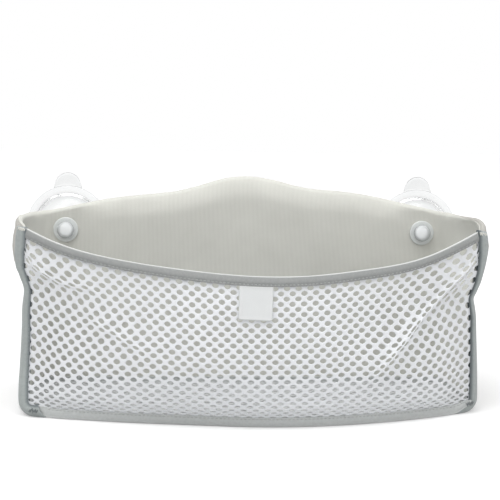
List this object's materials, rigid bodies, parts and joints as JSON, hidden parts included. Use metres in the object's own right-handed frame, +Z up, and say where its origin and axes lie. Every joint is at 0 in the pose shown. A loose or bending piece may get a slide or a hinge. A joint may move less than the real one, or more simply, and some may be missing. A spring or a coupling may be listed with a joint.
{
  "type": "bath toy organizer",
  "caption": "Soft basket for bath toys with a padded back and sides, a bowed mesh front and floor, folded bindings, and suction cups that hang it on a tiled wall.",
  "frame": {"origin": "middle of the footprint's bounding box, on the ground under the base bindings", "axes": "+X to the right seen from the front, +Y towards the wall, +Z up"},
  "size_m": [0.4078, 0.1834, 0.192],
  "materials": {
    "outer_cloth": "matt knitted polyester",
    "foam": "open-cell foam",
    "lining": "matt ribbed polyester",
    "tape": "folded woven binding tape",
    "mesh": "white warp-knitted hole mesh",
    "label": "bare woven label",
    "thread": "polyester thread",
    "clear_vinyl": "clear soft vinyl, glossy",
    "eyelet": "moulded plastic, satin"
  },
  "bodies": {
    "basket": {"outer_cloth": "outer_cloth", "foam_core": "foam", "inner_lining": "lining", "base_binding": "tape", "front_mesh": "mesh", "floor_mesh": "mesh", "front_rim_binding": "tape", "front_bottom_binding": "tape", "front_label": "label", "left_corner_binding": "tape", "left_rim_bar_tack": "thread", "left_base_bar_tack": "thread", "left_eyelet": "eyelet", "left_eyelet_washer": "eyelet", "right_corner_binding": "tape", "right_rim_bar_tack": "thread", "right_base_bar_tack": "thread", "right_eyelet": "eyelet", "right_eyelet_washer": "eyelet"},
    "left_cup": {"left_suction_cup": "clear_vinyl"},
    "right_cup": {"right_suction_cup": "clear_vinyl"}
  },
  "joints": [
    {"name": "left_cup_swivel", "type": "hinge", "parent": "basket", "child": "left_cup", "pos_m": [-0.161, 0.07173, 0.142], "axis": [0, 1, 0], "continuous": true},
    {"name": "right_cup_swivel", "type": "hinge", "parent": "basket", "child": "right_cup", "pos_m": [0.161, 0.07173, 0.142], "axis": [0, 1, 0], "continuous": true}
  ]
}
